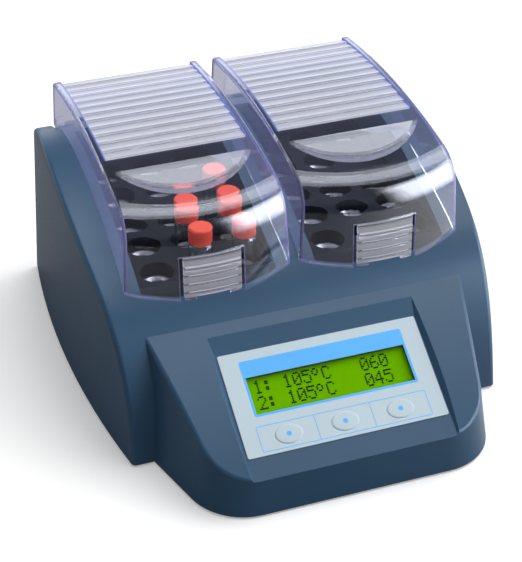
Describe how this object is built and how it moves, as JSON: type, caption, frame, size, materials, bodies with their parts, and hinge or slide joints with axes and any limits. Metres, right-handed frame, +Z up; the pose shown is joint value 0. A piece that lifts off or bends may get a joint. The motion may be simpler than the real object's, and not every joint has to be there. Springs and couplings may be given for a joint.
{
  "type": "chemical oxygen demand reactor",
  "caption": "Bench dry-block reactor for digesting capped sample vials: twin heated blocks of wells under clear rear-hinged lids, with a sloping keypad and display console in front.",
  "frame": {"origin": "on the bench under the feet, at the middle of the overall width and depth", "axes": "+X to the user's right, +Y from the keypad to the back, +Z up"},
  "size_m": [0.2606, 0.29, 0.1476],
  "materials": {
    "housing": "fine matt moulded ABS, slate blue",
    "tray": "matt black moulding",
    "foot_rubber": "soft matt rubber",
    "steel": "plain steel",
    "cover": "black heat-resistant moulding",
    "block": "machined",
    "insulation": "ceramic fibre board",
    "mat": "silicone heater mat",
    "clear": "clear moulded polycarbonate with a violet-blue edge",
    "vial": "borosilicate glass",
    "sample": "clear amber digestion liquid",
    "cap": "orange-red moulded polypropylene",
    "overlay": "pale blue-grey printed film",
    "window": "clear window",
    "display": "yellow-green liquid crystal panel",
    "board": "green circuit board",
    "dark_parts": "black moulded electronic parts",
    "inlet": "black thermoplastic",
    "sink": "extruded",
    "brass": "nickel-free brass"
  },
  "bodies": {
    "reactor": {"base_tray": "tray", "beeper": "dark_parts", "block_cover_left": "cover", "block_cover_right": "cover", "block_standoffs": "sink", "board_standoffs": "brass", "case_screws": "steel", "control_board": "board", "display_glass": "display", "display_module": "board", "display_window": "window", "fuse_drawer": "inlet", "fuses": "brass", "heater_mat_left": "mat", "heater_mat_right": "mat", "heating_bar_left_1": "block", "heating_bar_left_2": "block", "heating_bar_left_3": "block", "heating_bar_left_4": "block", "heating_bar_left_5": "block", "heating_bar_right_1": "block", "heating_bar_right_2": "block", "heating_bar_right_3": "block", "heating_bar_right_4": "block", "heating_bar_right_5": "block", "heatsink": "sink", "hinge_pin_left": "steel", "hinge_pin_right": "steel", "inlet_pins": "brass", "insulation_jacket_left": "insulation", "insulation_jacket_right": "insulation", "key_switches": "dark_parts", "keypad_board": "board", "keypad_overlay": "overlay", "power_board": "board", "power_inlet": "inlet", "power_parts": "dark_parts", "rubber_feet": "foot_rubber", "sample_vials": "vial", "switch_frame": "inlet", "temperature_sensor_left": "steel", "temperature_sensor_right": "steel", "thermal_cutout_left": "dark_parts", "thermal_cutout_right": "dark_parts", "upper_housing": "housing", "vial_caps": "cap", "vial_samples": "sample"},
    "lid_left": {"lid_left": "clear"},
    "lid_right": {"lid_right": "clear"},
    "latch_left": {"latch_tab_left": "clear"},
    "latch_right": {"latch_tab_right": "clear"},
    "key_left": {"key_left": "overlay"},
    "key_middle": {"key_middle": "overlay"},
    "key_right": {"key_right": "overlay"},
    "rocker": {"power_rocker": "inlet"}
  },
  "joints": [
    {"name": "lid_left_hinge", "type": "hinge", "parent": "reactor", "child": "lid_left", "pos_m": [-0.05415, 0.1365, 0.1095], "axis": [-1, 0, 0], "range_deg": [0, 95]},
    {"name": "lid_right_hinge", "type": "hinge", "parent": "reactor", "child": "lid_right", "pos_m": [0.05415, 0.1365, 0.1095], "axis": [-1, 0, 0], "range_deg": [0, 95]},
    {"name": "latch_left_flex", "type": "hinge", "parent": "lid_left", "child": "latch_left", "pos_m": [-0.05415, -0.0423, 0.1142], "axis": [-1, 0, 0], "range_deg": [0, 6], "stiffness_Nm_per_rad": 0.3},
    {"name": "latch_right_flex", "type": "hinge", "parent": "lid_right", "child": "latch_right", "pos_m": [0.05415, -0.0423, 0.1142], "axis": [-1, 0, 0], "range_deg": [0, 6], "stiffness_Nm_per_rad": 0.3},
    {"name": "key_left_press", "type": "slide", "parent": "reactor", "child": "key_left", "axis": [0, 0.4818, -0.8763], "range_m": [0, 0.0005], "stiffness_N_per_m": 400},
    {"name": "key_middle_press", "type": "slide", "parent": "reactor", "child": "key_middle", "axis": [0, 0.4818, -0.8763], "range_m": [0, 0.0005], "stiffness_N_per_m": 400},
    {"name": "key_right_press", "type": "slide", "parent": "reactor", "child": "key_right", "axis": [0, 0.4818, -0.8763], "range_m": [0, 0.0005], "stiffness_N_per_m": 400},
    {"name": "rocker_turn", "type": "hinge", "parent": "reactor", "child": "rocker", "pos_m": [-0.048, 0.1417, 0.0355], "axis": [1, 0, 0], "range_deg": [0, 18]}
  ]
}
